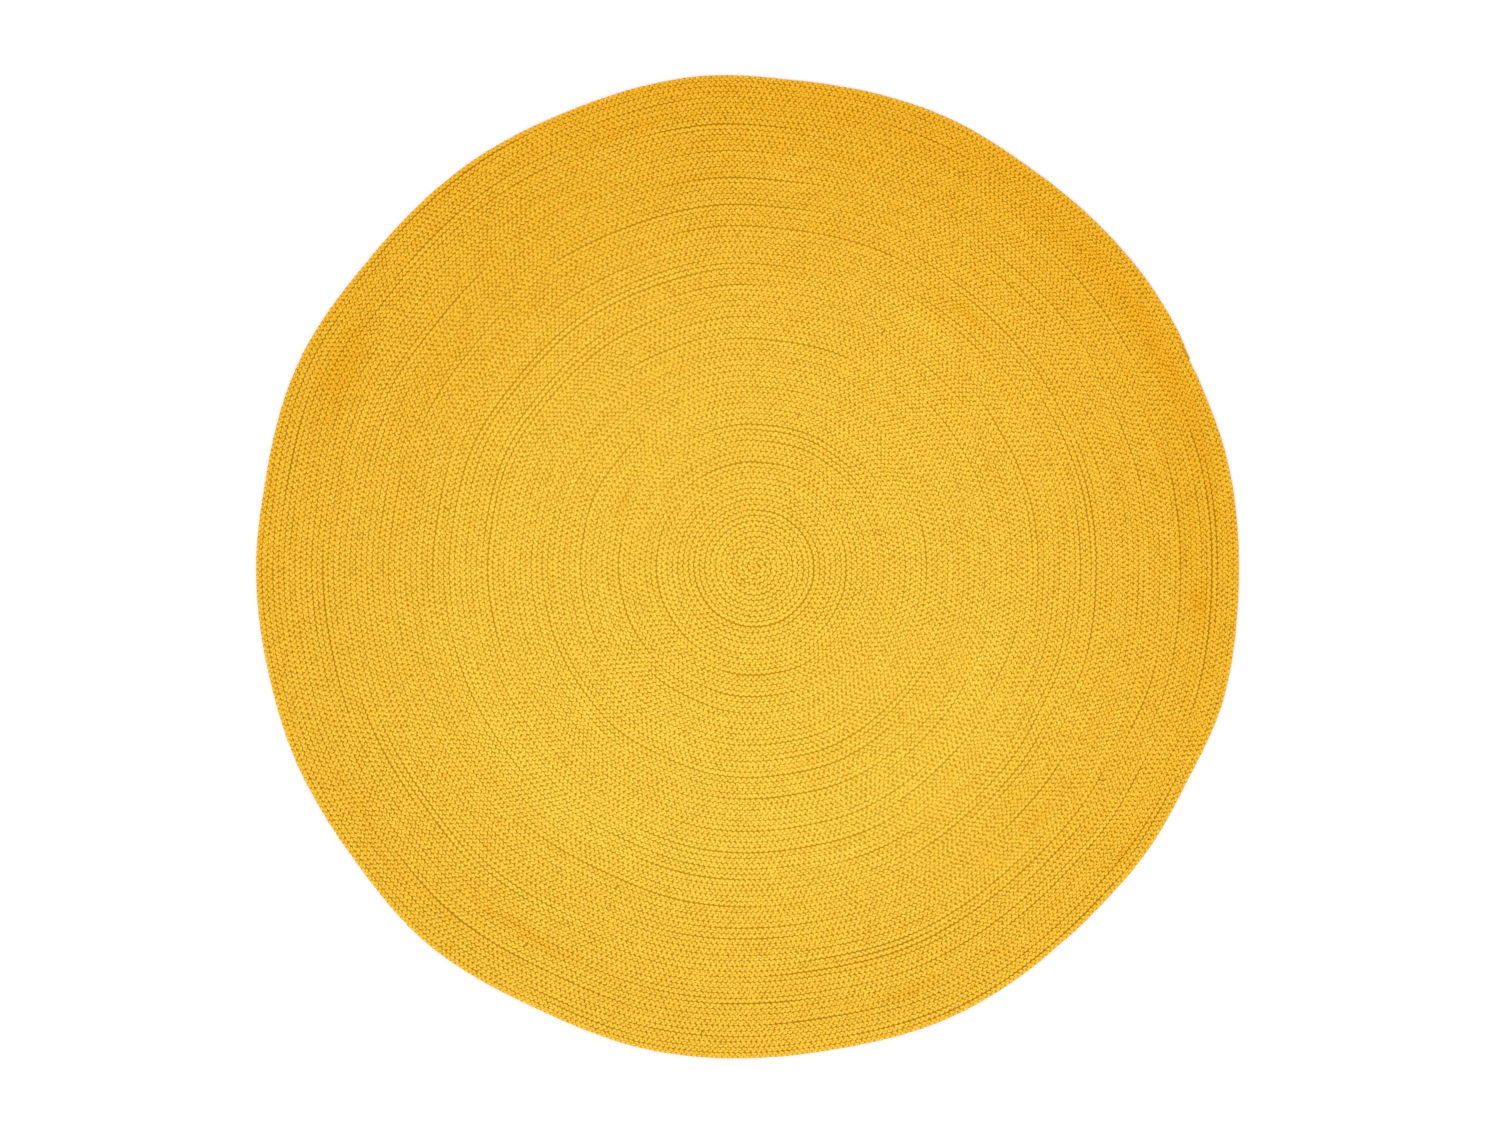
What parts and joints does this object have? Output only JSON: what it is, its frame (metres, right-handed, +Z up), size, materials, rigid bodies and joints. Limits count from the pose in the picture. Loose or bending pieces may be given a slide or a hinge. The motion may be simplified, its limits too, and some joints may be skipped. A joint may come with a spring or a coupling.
{
  "type": "round braided area rug",
  "caption": "Round flat rug made of a narrow three-strand plait coiled outwards from the middle and zigzag-sewn edge to edge, with a tucked centre and a tapered outer end.",
  "frame": {"origin": "middle of the underside, on the floor", "axes": "+Z up, out of the rug's upper face; the braid's outer end lies about 25 degrees counter-clockwise from +X seen from above"},
  "size_m": [1.8009, 1.8023, 0.009],
  "materials": {
    "braid_yarn": "matt mustard-yellow spun yarn",
    "seam_thread": "matt sewing thread, a little darker than the yarn"
  },
  "bodies": {
    "root": {"braid_length_01": "braid_yarn", "braid_length_02": "braid_yarn", "braid_length_03": "braid_yarn", "braid_length_04": "braid_yarn", "braid_length_05": "braid_yarn", "braid_length_06": "braid_yarn", "braid_length_07": "braid_yarn", "braid_length_08": "braid_yarn", "braid_length_09": "braid_yarn", "braid_length_10": "braid_yarn", "seam_thread_01": "seam_thread", "seam_thread_02": "seam_thread", "seam_thread_03": "seam_thread", "seam_thread_04": "seam_thread", "seam_thread_05": "seam_thread", "seam_thread_06": "seam_thread", "seam_thread_07": "seam_thread", "seam_thread_08": "seam_thread", "seam_thread_09": "seam_thread", "centre_tack": "seam_thread", "tail_tack": "seam_thread"}
  },
  "joints": []
}
